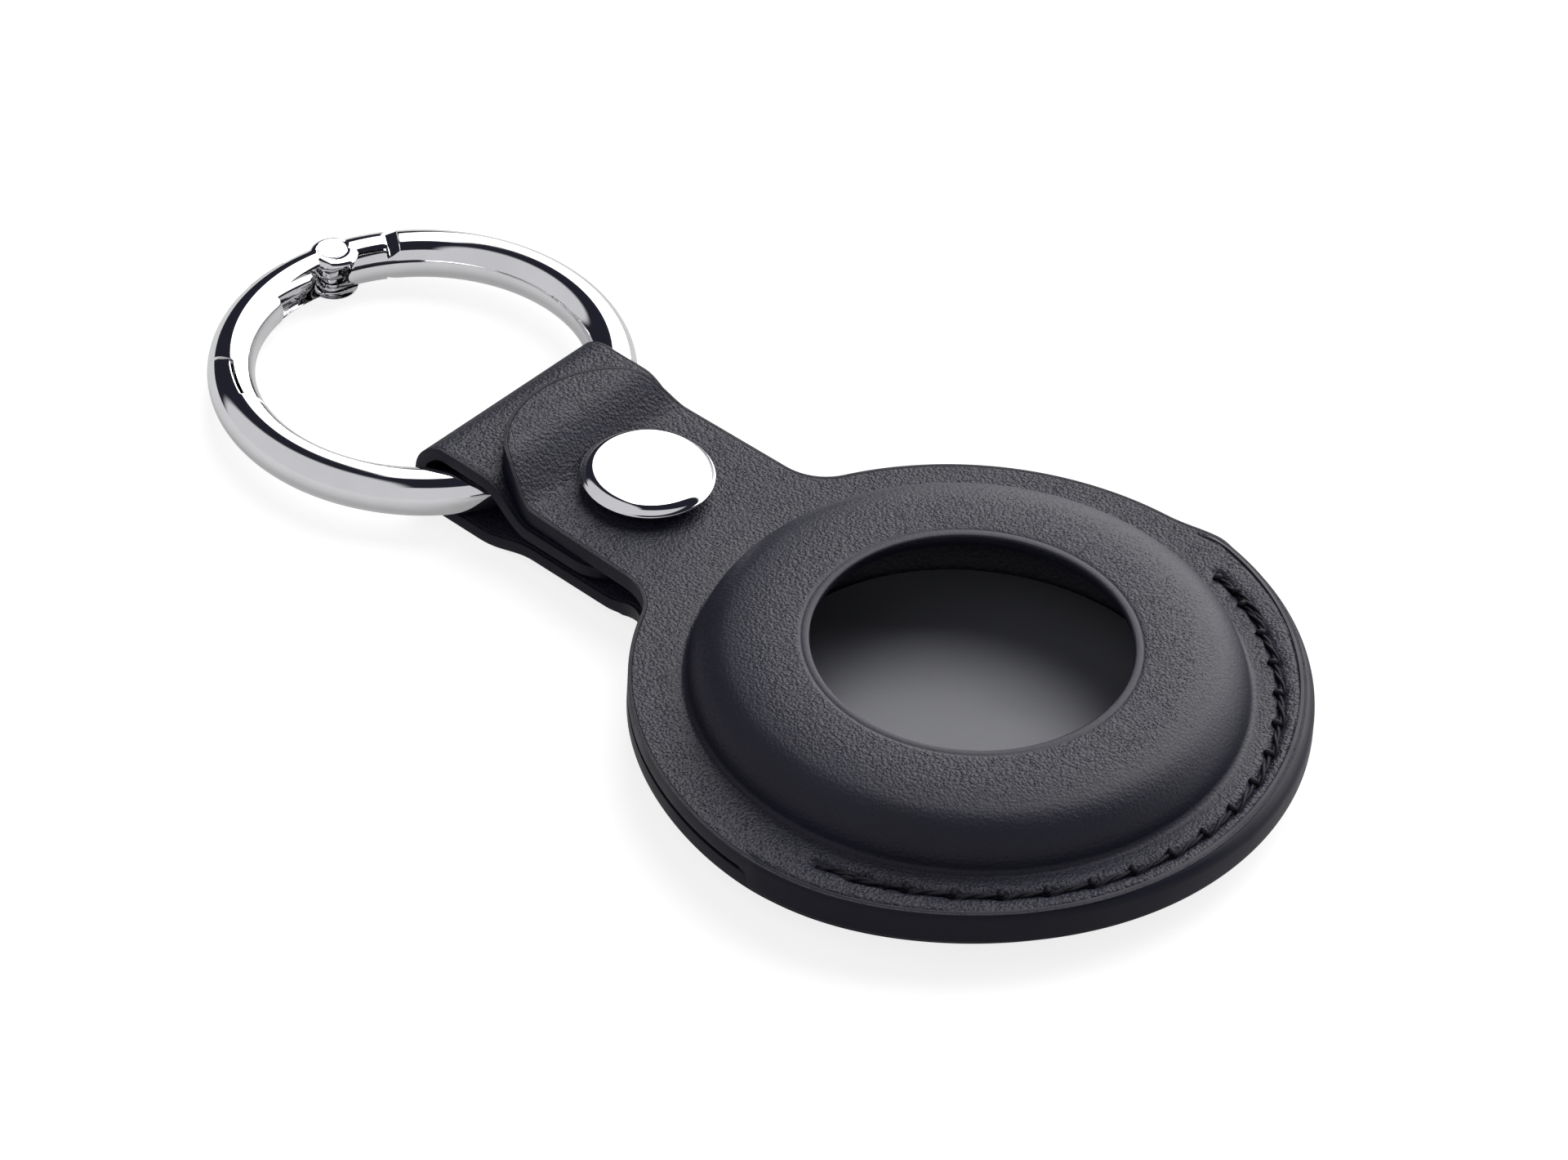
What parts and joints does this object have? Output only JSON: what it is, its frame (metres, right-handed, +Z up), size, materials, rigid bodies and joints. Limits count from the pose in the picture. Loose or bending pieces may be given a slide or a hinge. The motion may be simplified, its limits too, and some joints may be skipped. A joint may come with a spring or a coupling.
{
  "type": "tracker tag holder",
  "caption": "Round moulded leather tag pocket with a window and a strap that folds round a spring-gate ring and snaps shut.",
  "frame": {"origin": "centre of the flat underside of the pocket, where the holder lies on a surface", "axes": "+Z up out of the window, +X from the ring towards the pocket's far rim, +Y across the strap"},
  "size_m": [0.0794, 0.0412, 0.0077],
  "materials": {
    "leather": "pebbled",
    "lining": "satin",
    "thread": "matt",
    "chrome": "polished",
    "steel": "bright"
  },
  "bodies": {
    "pocket": {"front_panel": "leather", "back_panel": "leather", "pocket_lining": "lining", "rim_stitching": "thread", "rim_stitching_under": "thread", "snap_stud": "steel", "stud_post": "chrome"},
    "tab": {"front_tab": "leather", "snap_cap": "chrome", "snap_socket": "steel", "socket_spring": "steel"},
    "ring": {"ring_body": "chrome", "gate_pin": "chrome", "gate_spring": "steel"},
    "gate": {"ring_gate": "chrome"}
  },
  "joints": [
    {"name": "tab_lift", "type": "hinge", "parent": "pocket", "child": "tab", "pos_m": [-0.0212, 0, 0.0043], "axis": [0, 1, 0], "range_deg": [0, 90]},
    {"name": "ring_swing", "type": "hinge", "parent": "pocket", "child": "ring", "pos_m": [-0.03473, 0, 0.0025], "axis": [0, 1, 0], "range_deg": [0, 8]},
    {"name": "gate_hinge", "type": "hinge", "parent": "ring", "child": "gate", "pos_m": [-0.05673, 0.00369, 0.0018], "axis": [-0.0301, 0, 0.9995], "range_deg": [0, 35], "stiffness_Nm_per_rad": 0.02, "springref_deg": -28.65, "deforming": ["gate_spring"]}
  ]
}
